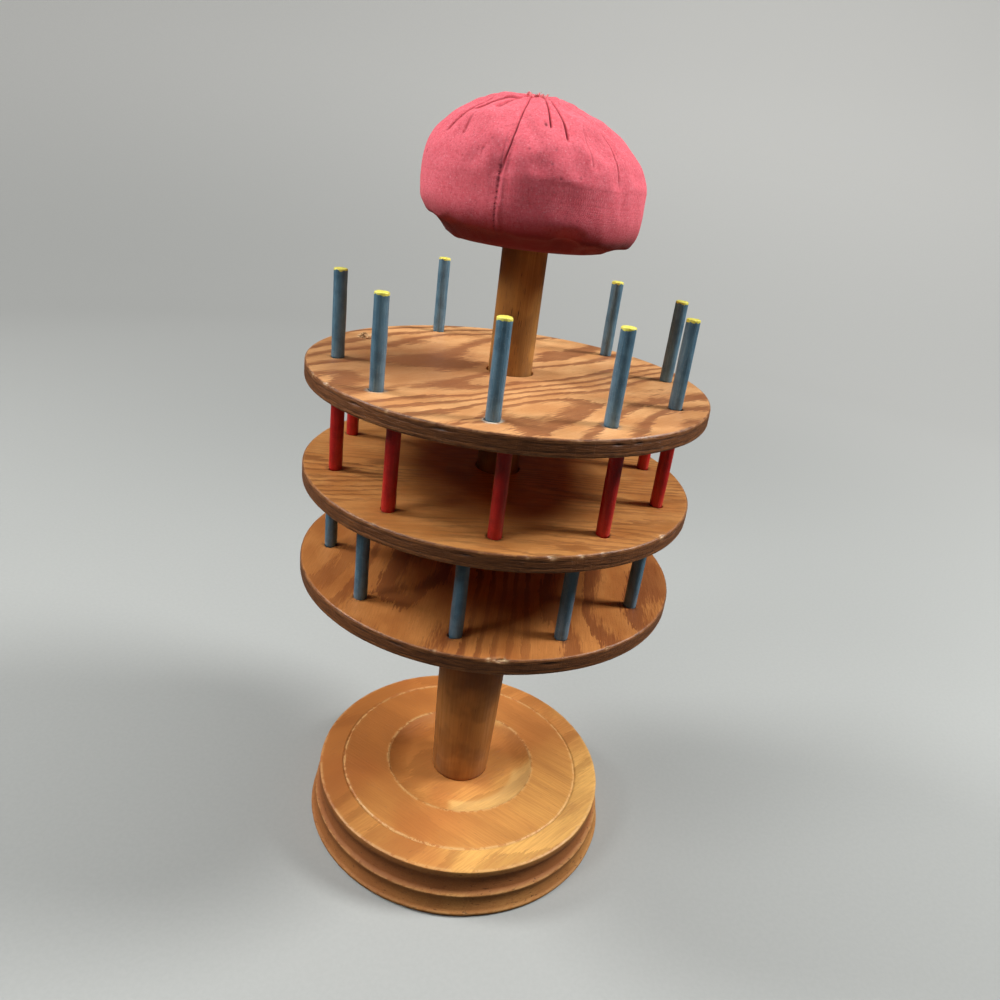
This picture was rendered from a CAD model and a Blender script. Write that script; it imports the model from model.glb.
import math

import bmesh
import bpy
import numpy as np
from mathutils import Matrix, Vector


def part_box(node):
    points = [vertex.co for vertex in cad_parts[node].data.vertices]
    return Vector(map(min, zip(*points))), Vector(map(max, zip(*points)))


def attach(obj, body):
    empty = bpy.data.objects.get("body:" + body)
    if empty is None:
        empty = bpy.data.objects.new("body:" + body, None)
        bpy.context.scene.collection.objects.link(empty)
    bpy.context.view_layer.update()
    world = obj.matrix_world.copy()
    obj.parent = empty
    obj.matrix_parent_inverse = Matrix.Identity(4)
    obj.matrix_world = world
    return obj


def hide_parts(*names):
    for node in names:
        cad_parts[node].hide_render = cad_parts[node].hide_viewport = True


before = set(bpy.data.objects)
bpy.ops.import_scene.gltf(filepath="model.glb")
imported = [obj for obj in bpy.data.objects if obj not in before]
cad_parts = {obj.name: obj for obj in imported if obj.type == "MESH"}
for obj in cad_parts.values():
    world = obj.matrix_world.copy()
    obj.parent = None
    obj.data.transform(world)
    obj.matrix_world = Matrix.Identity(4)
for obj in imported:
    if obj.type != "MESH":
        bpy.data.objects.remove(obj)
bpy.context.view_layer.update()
print("frame loaded")

mm = 0.001  # shapes are worked out in millimetres and turned into metres when a mesh is made
tau = 2 * math.pi


# Camera

camera = {
    "place": (0.0, -0.2960, 0.2853),  # metres, where the outlines in the photograph put the lens
    "yaw": 0.0093,
    "pitch": 0.4072,
    "roll": 0.1308,
    "focalPixels": 787.1,
    "framePixels": 1000,
    "sensor": 36.0,
}


def addCamera(name):
    # forward comes from yaw and pitch, then right and up are turned about it by the roll
    cosYaw, sinYaw = math.cos(camera["yaw"]), math.sin(camera["yaw"])
    cosPitch, sinPitch = math.cos(camera["pitch"]), math.sin(camera["pitch"])
    forward = Vector((sinYaw * cosPitch, cosYaw * cosPitch, -sinPitch))
    level = Vector((cosYaw, -sinYaw, 0.0))
    upright = level.cross(forward)
    cosRoll, sinRoll = math.cos(camera["roll"]), math.sin(camera["roll"])
    right = cosRoll * level + sinRoll * upright
    up = cosRoll * upright - sinRoll * level
    lens = bpy.data.cameras.new(name)
    lens.sensor_width = camera["sensor"]
    lens.lens = camera["focalPixels"] / camera["framePixels"] * camera["sensor"]
    lens.clip_start = 0.01
    eye = bpy.data.objects.new(name, lens)
    turn = Matrix((right, up, -forward)).transposed()
    eye.matrix_world = Matrix.Translation(camera["place"]) @ turn.to_4x4()
    bpy.context.scene.collection.objects.link(eye)
    bpy.context.scene.camera = eye


addCamera("photoCamera")


# Shape helpers

def nodeBox(node):
    # lowest and highest corner of a piece of the frame, in millimetres
    low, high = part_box(node)
    return np.array(low) / mm, np.array(high) / mm


def smoothStep(low, high, value):
    # 0 below low, 1 above high, and an S-shaped rise between
    t = np.clip((value - low) / (high - low), 0, 1)
    return t * t * (3 - 2 * t)


def bell(value, width):
    # 1 at zero, falling off like a bell of the given half width
    return np.exp(-((value / width) ** 2))


def angleGap(a, b):
    # signed angle from b to a, in degrees, the short way round
    return (a - b + 180) % 360 - 180


def waveNoise(points, size, seed, waves=20):
    # the mean of seeded plane waves, each about size long with its own direction and phase
    rng = np.random.default_rng(seed)
    direction = rng.normal(size=(waves, 3))
    direction /= np.linalg.norm(direction, axis=1, keepdims=True)
    number = tau / (size * rng.uniform(0.7, 1.5, waves))
    phase = rng.uniform(0, tau, waves)
    return np.cos(points @ (direction.T * number) + phase).mean(axis=-1) * math.sqrt(waves) * 0.7


def easedPath(corners, step, bendSteps=5):
    # corners are (radius, height, easing): a bend replaces each eased corner, long runs are cut into steps
    spots = np.array([corner[:2] for corner in corners], float)
    t = np.linspace(0, 1, bendSteps + 1)[:, None]
    bends = []
    for i, corner in enumerate(corners):
        here = spots[i]
        if corner[2] == 0:
            bends.append(here[None])
            continue
        back, ahead = spots[i - 1] - here, spots[i + 1] - here
        enter = here + back / np.linalg.norm(back) * corner[2]
        leave = here + ahead / np.linalg.norm(ahead) * corner[2]
        bends.append((1 - t) ** 2 * enter + 2 * t * (1 - t) * here + t**2 * leave)
    path = np.concatenate(bends)
    runs = [path[:1]]
    for start, end in zip(path[:-1], path[1:]):
        count = max(1, math.ceil(np.linalg.norm(end - start) / step))
        share = np.arange(1, count + 1)[:, None] / count
        runs.append(start + (end - start) * share)
    return np.concatenate(runs)


def polar(radius, angle, height):
    # points at a radius and an angle round the upright axis, and at a height
    return np.stack(np.broadcast_arrays(radius * np.cos(angle), radius * np.sin(angle), height), axis=-1)


def turned(profile, columns):
    # a lathe: each profile point (radius, height) is carried once round the upright axis
    return polar(profile[:, :1], np.arange(columns) * tau / columns, profile[:, 1:2])


def pushedOut(rings, amount):
    # every point moves away from the upright axis by amount, in millimetres
    radius = np.maximum(np.hypot(rings[..., 0], rings[..., 1]), 1e-6)
    moved = rings.copy()
    moved[..., 0] *= 1 + amount / radius
    moved[..., 1] *= 1 + amount / radius
    return moved


def ringMesh(name, rings, ends="shut", uv=None, marks=None):
    # rows of points that close on themselves, joined by quads; shut ends are single points with a fan of
    # triangles, looped rows also join last to first, and an open end stays a hole
    rows, columns = rings.shape[:2]
    index = np.arange(rows * columns).reshape(rows, columns)
    body = index[1:-1] if ends == "shut" else index
    below, above = (body, np.roll(body, -1, axis=0)) if ends == "looped" else (body[:-1], body[1:])
    quads = np.stack([below, np.roll(below, -1, 1), np.roll(above, -1, 1), above], axis=-1)
    faces = quads.reshape(-1, 4).tolist()
    column = np.arange(columns)
    if ends == "shut":
        first, last = body[0], body[-1]
        faces += np.stack([np.full(columns, index[0, 0]), np.roll(first, -1), first], axis=-1).tolist()
        faces += np.stack([np.full(columns, index[-1, 0]), last, np.roll(last, -1)], axis=-1).tolist()
    mesh = bpy.data.meshes.new(name)
    mesh.from_pydata((rings.reshape(-1, 3) * mm).tolist(), [], faces)
    for label, values in (marks or {}).items():
        addMark(mesh, label, np.broadcast_to(values, (rows, columns)))
    if uv is not None:
        # the last column of uv is the first one again, one full turn further on
        top = len(below) * columns
        row = np.repeat(np.arange(len(below)) + (1 if ends == "shut" else 0), columns)
        col = np.tile(column, len(below))
        corner = np.stack([uv[row, col], uv[row, col + 1], uv[row + 1, col + 1], uv[row + 1, col]], axis=1)
        sheet = [corner.reshape(-1, 2)]
        if ends == "shut":
            first = np.stack([uv[0, column], uv[1, column + 1], uv[1, column]], axis=1)
            last = np.stack([uv[-1, column], uv[-2, column], uv[-2, column + 1]], axis=1)
            sheet += [first.reshape(-1, 2), last.reshape(-1, 2)]
        layer = mesh.uv_layers.new(name="cloth")
        layer.data.foreach_set("uv", np.concatenate(sheet).astype(np.float32).ravel())
    tidyMesh(mesh)
    return addObject(name, mesh)


def addMark(mesh, label, values):
    # a number at each point, which the materials read by its name
    layer = mesh.attributes.new(label, "FLOAT", "POINT")
    layer.data.foreach_set("value", np.ascontiguousarray(values, dtype=np.float32).ravel())


def meshPoints(mesh):
    # every point of a mesh as a row, in millimetres
    points = np.empty(len(mesh.vertices) * 3)
    mesh.vertices.foreach_get("co", points)
    return points.reshape(-1, 3) / mm


def tidyMesh(mesh, sharpAngle=None):
    # smooth shading, except at edges that turn by more than sharpAngle degrees
    mesh.polygons.foreach_set("use_smooth", np.ones(len(mesh.polygons), dtype=bool))
    if sharpAngle:
        mesh.set_sharp_from_angle(angle=math.radians(sharpAngle))
    mesh.update()


def addObject(name, mesh):
    piece = bpy.data.objects.new(name, mesh)
    bpy.context.scene.collection.objects.link(piece)
    return piece


def dropLoose(piece):
    # points that no face uses go, such as the spare copies in a shut end's row
    mesh = piece.data
    used = np.zeros(len(mesh.vertices), dtype=bool)
    corners = np.empty(len(mesh.loops), dtype=np.int32)
    mesh.loops.foreach_get("vertex_index", corners)
    used[corners] = True
    if used.all():
        return
    work = bmesh.new()
    work.from_mesh(mesh)
    work.verts.ensure_lookup_table()
    loose = [work.verts[i] for i in np.flatnonzero(~used)]
    bmesh.ops.delete(work, geom=loose, context="VERTS")
    work.to_mesh(mesh)
    work.free()


def settle(piece, material, body, slotName, *nodes):
    # the finished piece takes its material, its place on a body, its slot and the nodes it stands for
    dropLoose(piece)
    piece.data.materials.append(material)
    if nodes:
        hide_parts(*nodes)
    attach(piece, body)


# Material helpers

def tint(red, green, blue):
    # display values from 0 to 255 made into the linear colour that a shader takes
    shown = np.array([red, green, blue]) / 255
    linear = np.where(shown <= 0.04045, shown / 12.92, ((shown + 0.055) / 1.055) ** 2.4)
    return (*linear.tolist(), 1.0)


def put(tree, kind, inputs=None, **options):
    # adds a node, sets its options and fills its inputs with values or links
    node = tree.nodes.new(kind)
    for label, value in options.items():
        setattr(node, label, value)
    for label, value in (inputs or {}).items():
        if isinstance(value, bpy.types.NodeSocket):
            tree.links.new(value, node.inputs[label])
        else:
            node.inputs[label].default_value = value
    return node


def maths(tree, operation, a, b=0.0, c=0.0):
    return put(tree, "ShaderNodeMath", {0: a, 1: b, 2: c}, operation=operation).outputs[0]


def times(tree, a, b):
    return maths(tree, "MULTIPLY", a, b)


def objectSpace(tree):
    return put(tree, "ShaderNodeTexCoord").outputs["Object"]


def partOf(tree, vector, axis):
    # x, y or z of a vector, as axis 0, 1 or 2
    return put(tree, "ShaderNodeSeparateXYZ", {0: vector}).outputs[axis]


def stretched(tree, vector, scale):
    return put(tree, "ShaderNodeMapping", {"Vector": vector, "Scale": scale}).outputs[0]


def measured(tree, vector, sizes):
    # a vector divided by a size for each axis
    return put(tree, "ShaderNodeVectorMath", {0: vector, 1: sizes}, operation="DIVIDE").outputs[0]


def between(tree, operation, a, b=(0.0, 0.0, 0.0)):
    # the one number that a vector operation such as DISTANCE gives
    return put(tree, "ShaderNodeVectorMath", {0: a, 1: b}, operation=operation).outputs["Value"]


def fade(tree, value, low, high, start=0.0, end=1.0):
    # start below low, end above high, and an S-shaped change between
    inputs = {"Value": value, "From Min": low, "From Max": high, "To Min": start, "To Max": end}
    return put(tree, "ShaderNodeMapRange", inputs, interpolation_type="SMOOTHSTEP").outputs["Result"]


def noise(tree, vector, scale=1.0, detail=2.0, rough=0.5, warp=0.0):
    inputs = {"Vector": vector, "Scale": scale, "Detail": detail, "Roughness": rough, "Distortion": warp}
    return put(tree, "ShaderNodeTexNoise", inputs).outputs[0]


def mixColour(tree, share, a, b, blend="MIX"):
    node = put(tree, "ShaderNodeMix", {0: share, 6: a, 7: b}, data_type="RGBA", blend_type=blend)
    return node.outputs[2]


def layered(tree, colour, coats):
    # each coat is a mask, how strongly it shows and its colour, and lies over the coats before it
    for mask, strength, paint in coats:
        share = mask if strength == 1 else times(tree, mask, strength)
        colour = mixColour(tree, share, colour, paint)
    return colour


def mark(tree, label):
    return put(tree, "ShaderNodeAttribute", attribute_name=label).outputs["Fac"]


def grainSpace(tree, degrees, shift=(0, 0, 0)):
    # object coordinates turned so that x runs along the grain
    inputs = {"Vector": objectSpace(tree), "Location": shift, "Rotation": (0, 0, math.radians(degrees))}
    return put(tree, "ShaderNodeMapping", inputs, vector_type="TEXTURE").outputs[0]


def newGroup(name, takes, *gives):
    # a node group that takes a Vector and named numbers, and gives named masks
    group = bpy.data.node_groups.new(name, "ShaderNodeTree")
    sockets = group.interface
    sockets.new_socket("Vector", in_out="INPUT", socket_type="NodeSocketVector")
    for label, value in takes.items():
        sockets.new_socket(label, in_out="INPUT", socket_type="NodeSocketFloat").default_value = value
    for label in gives:
        sockets.new_socket(label, in_out="OUTPUT", socket_type="NodeSocketFloat")
    given = group.nodes.new("NodeGroupInput").outputs
    return group, given, group.nodes.new("NodeGroupOutput").inputs


def useGroup(tree, group, inputs):
    return put(tree, "ShaderNodeGroup", inputs, node_tree=group).outputs


def newMaterial(name, **sockets):
    # an empty surface with the constant shader values in sockets
    material = bpy.data.materials.new(name)
    material.use_nodes = True
    tree = material.node_tree
    shader = tree.nodes["Principled BSDF"]
    for label, value in sockets.items():
        shader.inputs[label.replace("_", " ")].default_value = value
    return material, tree, shader


def connect(tree, shader, colour, rough, height=None, depth=0.0001):
    # colour and roughness go straight in, and the height in metres through a bump
    tree.links.new(colour, shader.inputs["Base Color"])
    tree.links.new(rough, shader.inputs["Roughness"])
    if height is not None:
        bump = put(tree, "ShaderNodeBump", {"Height": height, "Distance": depth})
        tree.links.new(bump.outputs[0], shader.inputs["Normal"])


# Shared surface effects

def makeFibreGroup():
    # fibres that run along x: soft streaks, short dark pores and broad clouds of colour
    takes = {"Length": 0.03, "Width": 0.0005}
    group, given, result = newGroup("woodFibre", takes, "Streak", "Pore", "Cloud")
    sizes = {0: given["Length"], 1: given["Width"], 2: given["Width"]}
    along = measured(group, given["Vector"], put(group, "ShaderNodeCombineXYZ", sizes).outputs[0])
    streak = noise(group, along, 1.0, 4.0, 0.62)
    pore = noise(group, stretched(group, along, (6, 1.6, 1.6)), 1.0, 1.0, 0.4)
    cloud = noise(group, stretched(group, along, (0.6, 0.04, 0.04)), 1.0, 2.0, 0.5)
    group.links.new(fade(group, streak, 0.3, 0.7), result["Streak"])
    group.links.new(fade(group, pore, 0.66, 0.78), result["Pore"])
    group.links.new(fade(group, cloud, 0.3, 0.7), result["Cloud"])
    return group


def makeFlameGroup():
    # contour lines of a rolling height, as a peeled log shows them: each band darkens slowly and ends in a
    # sharp edge, and fine fibres along x tear that edge; Slope packs the lines closer across the grain
    takes = {"Lift": 0.0, "Lines": 5.0, "Slope": 10.0, "Along": 0.05, "Across": 0.02, "Feather": 0.1}
    group, given, result = newGroup("flameGrain", takes, "Band", "Ring")
    sizes = {0: given["Along"], 1: given["Across"], 2: 1.0}
    rolling = measured(group, given["Vector"], put(group, "ShaderNodeCombineXYZ", sizes).outputs[0])
    big = noise(group, rolling, 1.0, 0.5, 0.4)
    wobble = noise(group, rolling, 3.3, 1.0, 0.5)
    torn = stretched(group, given["Vector"], (170, 1400, 1))
    fringe = maths(group, "SUBTRACT", noise(group, torn, 1.0, 2.0, 0.6), 0.5)
    height = maths(group, "ADD", big, given["Lift"])
    for part, weight in (
        (partOf(group, given["Vector"], 1), given["Slope"]),
        (wobble, 0.14),
        (fringe, given["Feather"]),
    ):
        height = maths(group, "MULTIPLY_ADD", part, weight, height)
    steps = times(group, height, given["Lines"])
    phase = maths(group, "FRACT", steps)
    band = times(group, fade(group, phase, 0.45, 0.72), fade(group, phase, 0.95, 0.99, 1.0, 0.0))
    thin = maths(group, "FRACT", times(group, steps, 3.0))
    group.links.new(band, result["Band"])
    group.links.new(fade(group, thin, 0.55, 0.95), result["Ring"])
    return group


def makeWearGroup():
    # a marked line or edge, broken up so that only a share of its length, Cover, shows
    takes = {"Mark": 0.0, "Size": 0.003, "Cover": 0.5}
    group, given, result = newGroup("brokenWear", takes, "Mask")
    scale = maths(group, "DIVIDE", 1.0, given["Size"])
    patches = fade(group, noise(group, given["Vector"], scale, 3.0, 0.65), 0.3, 0.7)
    bare = maths(group, "SUBTRACT", 1.0, given["Cover"])
    seen = fade(group, patches, maths(group, "SUBTRACT", bare, 0.12), maths(group, "ADD", bare, 0.12))
    group.links.new(times(group, seen, given["Mark"]), result["Mask"])
    return group


def makePaintGroup():
    # brushed enamel: long strokes up the peg, small bubbles and craters, and a thin patchy film
    group, given, result = newGroup("brushedPaint", {}, "Stroke", "Pit", "Patch")
    stroke = noise(group, stretched(group, given["Vector"], (1900, 1900, 110)), 1.0, 3.0, 0.6)
    pit = put(group, "ShaderNodeTexVoronoi", {"Vector": given["Vector"], "Scale": 1100.0}).outputs["Distance"]
    patch = noise(group, given["Vector"], 260.0, 2.0, 0.5)
    group.links.new(fade(group, stroke, 0.28, 0.72), result["Stroke"])
    group.links.new(fade(group, pit, 0.12, 0.3, 1.0, 0.0), result["Pit"])
    group.links.new(fade(group, patch, 0.35, 0.7), result["Patch"])
    return group


def makeWeaveGroup():
    # plain weave: warp and weft pass over each other on a square net, with slubs along both
    group, given, result = newGroup("plainWeave", {"Pitch": 0.0004}, "Height", "Gap", "Slub")
    inputs = {0: given["Vector"], "Scale": maths(group, "DIVIDE", 1.0, given["Pitch"])}
    threads = put(group, "ShaderNodeVectorMath", inputs, operation="SCALE").outputs[0]
    split = put(group, "ShaderNodeSeparateXYZ", {0: threads}).outputs
    warpTop, weftTop = (
        maths(group, "SINE", times(group, maths(group, "PINGPONG", split[axis], 0.5), tau / 2))
        for axis in (0, 1)
    )
    cells = maths(group, "ADD", maths(group, "FLOOR", split[0]), maths(group, "FLOOR", split[1]))
    over = maths(group, "PINGPONG", cells, 1.0)
    height = put(group, "ShaderNodeMix", {0: over, 2: warpTop, 3: weftTop}).outputs[0]
    ways = ((0.9, 0.12, 1), (0.12, 0.9, 1))
    slubs = [noise(group, stretched(group, threads, way), 1.0, 2.0) for way in ways]
    group.links.new(height, result["Height"])
    group.links.new(fade(group, times(group, warpTop, weftTop), 0.0, 0.35, 1.0, 0.0), result["Gap"])
    group.links.new(fade(group, maths(group, "ADD", *slubs), 0.7, 1.3), result["Slub"])
    return group


fibreGroup = makeFibreGroup()
flameGroup = makeFlameGroup()
wearGroup = makeWearGroup()
paintGroup = makePaintGroup()
weaveGroup = makeWeaveGroup()
print("shared effects ready")


def broken(tree, vector, label, size, cover):
    # the broken-up mask of one of a piece's marks
    inputs = {"Vector": vector, "Mark": mark(tree, label), "Size": size, "Cover": cover}
    return useGroup(tree, wearGroup, inputs)["Mask"]


# Base

baseShape = {
    "rim": 65.3,  # radii and heights in millimetres
    "ledge": 67.0,
    "ledgeHeight": 10.2,
    "upperCove": 0.8,
    "lowerCove": 0.8,
    "beadHeight": 2.6,
    "fascia": 2.9,
    "rimFall": 0.8,
    "ringLine": 54.6,
    "ringLineDepth": 0.4,
    "dish": 34.0,
    "dishDepth": 2.8,
    "dishWall": 8.0,
    "mortise": 8.05,
    "mortiseDepth": 15.0,
    "columns": 400,
}
baseFinish = {
    "ringGrain": -32,  # degrees from +X, inside the ring line
    "outerGrain": 47,
    "honeySide": (0.8, -0.6, 0.0),
    "gold": tint(255, 200, 112),
    "ruddy": tint(198, 112, 58),
    "pale": tint(242, 176, 96),
    "warm": tint(196, 122, 60),
    "dark": tint(136, 74, 34),
    "worn": tint(246, 200, 130),
    "cove": tint(150, 90, 48),
    "side": tint(160, 100, 54),
    "speck": tint(70, 40, 20),
}


def cove(low, high, depth, steps):
    # a half-round hollow between two points of a profile
    t = np.linspace(0, 1, steps + 1)
    radius = low[0] + (high[0] - low[0]) * t - depth * np.sin(math.pi * t)
    height = low[1] + (high[1] - low[1]) * t
    return [(r, h, 0) for r, h in zip(radius, height)]


def makeBase():
    # the lathe's profile runs from the underside's middle up over bead, coves and rim, in across the top, and
    # down through the dish into the column's mortise; slow waves make it uneven, and the cut lines are ragged
    shape = baseShape
    high = nodeBox("base")[1]
    bead, top = high[0], high[2]
    rim, ledge, line, dish, mortise = (shape[key] for key in ("rim", "ledge", "ringLine", "dish", "mortise"))
    beadTop, ledgeTop, rimTop = shape["beadHeight"], shape["ledgeHeight"], top - shape["rimFall"]
    floor = top - shape["dishDepth"]
    wall = [
        (dish - (shape["dishWall"] + 1) * t, top - shape["dishDepth"] * (1 - (1 - t) ** 1.6), 0)
        for t in np.linspace(0, 1, 16)
    ]
    corners = [(0, 0, 0), (bead - 0.8, 0, 0.4), (bead, 0.9, 0.5), (bead, beadTop - 0.6, 0.5)]
    corners += cove((ledge + 0.7, beadTop), (ledge, ledgeTop - 0.7), shape["lowerCove"], 12)
    corners += [(ledge, ledgeTop, 0.35)]
    corners += cove((rim, ledgeTop + 0.8), (rim, rimTop - shape["fascia"]), shape["upperCove"], 16)
    corners += [(rim, rimTop - 0.3, 0.25), (rim - 0.9, rimTop + 0.08, 0.5)]
    corners += [(line + 0.75, top, 0.25), (line, top - shape["ringLineDepth"], 0.25), (line - 0.6, top, 0.3)]
    corners += [(dish + 0.3, top, 0.2)] + wall[1:]
    corners += [(mortise, floor, 0), (mortise, floor - shape["mortiseDepth"], 0)]
    corners += [(0, floor - shape["mortiseDepth"], 0)]
    profile = easedPath(corners, 0.9)
    radius, height = profile[:, :1], profile[:, 1:2]
    rings = turned(profile, shape["columns"])
    outside = smoothStep(20, 26, radius)
    uneven = waveNoise(rings, 26, 3) * 0.08 + waveNoise(rings, 5, 4) * 0.035
    rings = pushedOut(rings, uneven * outside)

    def near(r, z, width):
        # 1 on a corner of the section, and less away from it
        return bell(np.hypot(radius - r, height - z), width)

    cutLine = near(line - 0.2, top, 0.55) + 0.85 * near(dish + 0.1, top, 0.5)
    worn = cutLine + 0.45 * near(rim - 0.6, rimTop, 0.6) + 0.3 * near(ledge - 0.1, ledgeTop, 0.35)
    worn = worn + 0.25 * near(bead, beadTop - 0.6, 0.5)
    rings[..., 2] += cutLine * outside * waveNoise(rings, 1.9, 5) * 0.18
    deep = smoothStep(ledgeTop + 0.2, ledgeTop + 0.9, height) * smoothStep(21, 17, height)
    zone = smoothStep(dish - 0.3, dish + 0.3, radius) * smoothStep(line + 0.2, line - 0.4, radius)
    bowl = smoothStep(24, 27, radius) * smoothStep(dish + 0.1, dish - 0.5, radius)
    marks = {
        "worn": np.clip(worn, 0, 1),
        "cove": deep * smoothStep(60, 63, radius),
        "ring": zone * smoothStep(top - 1.2, top - 0.6, height),
        "side": smoothStep(60, 63, radius) * smoothStep(rimTop + 0.2, rimTop - 1.5, height),
        "bowl": bowl * smoothStep(floor - 0.6, floor - 0.1, height),
    }
    return ringMesh("baseWood", rings, marks=marks)


def makeBaseMaterial():
    finish = baseFinish
    material, tree, shader = newMaterial(
        "baseVarnish", Coat_Weight=0.1, Coat_Roughness=0.3, Specular_IOR_Level=0.35)
    inner, outer = grainSpace(tree, finish["ringGrain"]), grainSpace(tree, finish["outerGrain"])
    ring, side = mark(tree, "ring"), mark(tree, "side")
    grain = put(tree, "ShaderNodeMix", {0: ring, 4: outer, 5: inner}, data_type="VECTOR").outputs[1]
    fibre = useGroup(tree, fibreGroup, {"Vector": grain, "Length": 0.022, "Width": 0.0008})
    flame = useGroup(tree, flameGroup, {
        "Vector": grain, "Lines": 3.0, "Slope": 14.0, "Along": 0.07, "Across": 0.03, "Feather": 0.14,
    })
    # the front right lies across the light and shows honey, the back left shows red brown
    place = objectSpace(tree)
    patch = maths(tree, "MULTIPLY_ADD", noise(tree, place, 22.0, 2.0, 0.5), 0.12, -0.06)
    toward = maths(tree, "ADD", between(tree, "DOT_PRODUCT", place, finish["honeySide"]), patch)
    honey = times(tree, fade(tree, toward, -0.05, 0.04), fade(tree, ring, 0, 1, 1.0, 0.62))
    ruddy = fade(tree, noise(tree, inner, 26.0, 2.0, 0.5), 0.45, 0.62)
    # outside the ring line the grain is brightest at the right, and so is the dish's wall
    bright = times(tree, fade(tree, toward, 0.015, 0.055), fade(tree, ring, 0, 1, 0.9, 0.3))
    crescent = times(tree, fade(tree, toward, 0.010, 0.024), mark(tree, "bowl"))
    # open end grain in the hollows, in short level specks
    speck = noise(tree, stretched(tree, place, (420, 420, 1500)), 1.0, 2.0, 0.6)
    hollow = times(tree, fade(tree, speck, 0.62, 0.72), side)
    colour = layered(tree, finish["warm"], [
        (honey, 1, finish["pale"]),
        (ruddy, 0.4, finish["ruddy"]),
        (maths(tree, "MAXIMUM", bright, crescent), 1, finish["gold"]),
        (flame["Band"], fade(tree, ring, 0, 1, 0.34, 0.14), finish["dark"]),
        (fibre["Streak"], 0.45, finish["warm"]),
        (fibre["Cloud"], 0.22, finish["dark"]),
        (fibre["Pore"], 0.3, finish["dark"]),
        (side, 0.72, finish["side"]),
        (mark(tree, "cove"), 0.8, finish["cove"]),
        (hollow, 0.7, finish["speck"]),
        (broken(tree, place, "worn", 0.0035, 0.58), 0.72, finish["worn"]),
        (crescent, 0.45, finish["worn"]),
    ])
    rough = maths(tree, "MULTIPLY_ADD", side, 0.28, fade(tree, fibre["Streak"], 0, 1, 0.34, 0.5))
    tree.links.new(fade(tree, side, 0, 1, 0.1, 0.0), shader.inputs["Coat Weight"])
    relief = maths(tree, "SUBTRACT", fibre["Streak"], maths(tree, "ADD", fibre["Pore"], hollow))
    connect(tree, shader, colour, rough, relief, 0.00005)
    return material


settle(makeBase(), makeBaseMaterial(), "stand", "base_wood", "base")
print("base made")


# Column and post

columnShape = {
    "foot": 13.0,
    "top": 14.9,
    "swell": 0.3,
    "footHeight": 19.8,
    "shoulderHeight": 126.0,
    "tenon": 8.0,
    "socket": 8.4,
    "socketFloor": 96.0,
    "columns": 128,
}
columnFinish = {
    "fibreWidth": 0.0012,  # metres
    "fleck": 0.25,  # how strongly dark flecks and streaks show
    "streak": 0.3,
    "pale": tint(190, 128, 64),
    "mid": tint(132, 78, 36),
    "dark": tint(88, 48, 22),
}
postFinish = {
    "fibreWidth": 0.00045,
    "fleck": 0.95,
    "streak": 0.7,
    "pale": tint(204, 148, 76),
    "mid": tint(152, 100, 44),
    "dark": tint(66, 36, 16),
}


def makeColumn():
    # the seen side swells from foot to top by a quarter of a sine wave, with a half wave added; above it a
    # shoulder turns in to the post's socket, and below it stands the tenon
    shape = columnShape
    low = nodeBox("column")[0]
    foot, top, tenon, socket = (shape[key] for key in ("foot", "top", "tenon", "socket"))
    footHeight, shoulderHeight = shape["footHeight"], shape["shoulderHeight"]
    t = np.linspace(0, 1, 70)
    side = np.stack([
        foot + (top - foot) * np.sin(t * tau / 4) + shape["swell"] * np.sin(t * tau / 2),
        footHeight + 0.25 + (shoulderHeight - footHeight - 0.85) * t,
    ], axis=-1)
    before = easedPath([(0, low[2], 0), (tenon, low[2], 0.5), (tenon, footHeight, 0)], 2)
    after = easedPath([
        (top, side[-1, 1], 0), (top, shoulderHeight, 0.5), (socket, shoulderHeight, 0.3),
        (socket, shape["socketFloor"], 0), (0, shape["socketFloor"], 0),
    ], 3)
    profile = np.concatenate([before, side, after[1:]])
    rings = turned(profile, shape["columns"])
    seen = smoothStep(11, 12.5, profile[:, :1])
    rings = pushedOut(rings, seen * (waveNoise(rings, 30, 11) * 0.1 + waveNoise(rings, 5, 12) * 0.02))
    return ringMesh("columnWood", rings)


def makePost():
    # a dowel with eased ends, a little thinner than its node and not quite round
    low, high = nodeBox("post")
    corners = [(0, low[2], 0), (high[0], low[2], 0.4), (high[0], high[2], 0.4), (0, high[2], 0)]
    rings = turned(easedPath(corners, 2.2), 96)
    rings = pushedOut(rings, -0.03 + waveNoise(rings, 40, 21) * 0.03)
    return ringMesh("postDowel", rings)


def makeDowelMaterial(name, finish):
    # grain that runs up the piece: x of the fibre space is the height
    material, tree, shader = newMaterial(name, Coat_Weight=0.1, Coat_Roughness=0.3, Specular_IOR_Level=0.4)
    inputs = {"Vector": objectSpace(tree), "Rotation": (0, math.radians(90), 0)}
    upright = put(tree, "ShaderNodeMapping", inputs).outputs[0]
    fibre = useGroup(tree, fibreGroup, {"Vector": upright, "Length": 0.028, "Width": finish["fibreWidth"]})
    ring = fade(tree, noise(tree, upright, 70.0, 2.0, 0.5), 0.45, 0.62)
    colour = layered(tree, finish["mid"], [
        (fibre["Cloud"], 1, finish["pale"]),
        (fibre["Streak"], finish["streak"], finish["mid"]),
        (fibre["Pore"], finish["fleck"], finish["dark"]),
        (ring, 0.38, finish["dark"]),
    ])
    rough = fade(tree, fibre["Streak"], 0, 1, 0.34, 0.5)
    connect(tree, shader, colour, rough, maths(tree, "SUBTRACT", fibre["Streak"], fibre["Pore"]), 0.00004)
    return material


settle(makeColumn(), makeDowelMaterial("columnVarnish", columnFinish), "stand", "column_wood", "column")
settle(makePost(), makeDowelMaterial("postVarnish", postFinish), "stand", "post_wood", "post")
print("column and post made")


# Plywood discs

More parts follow.
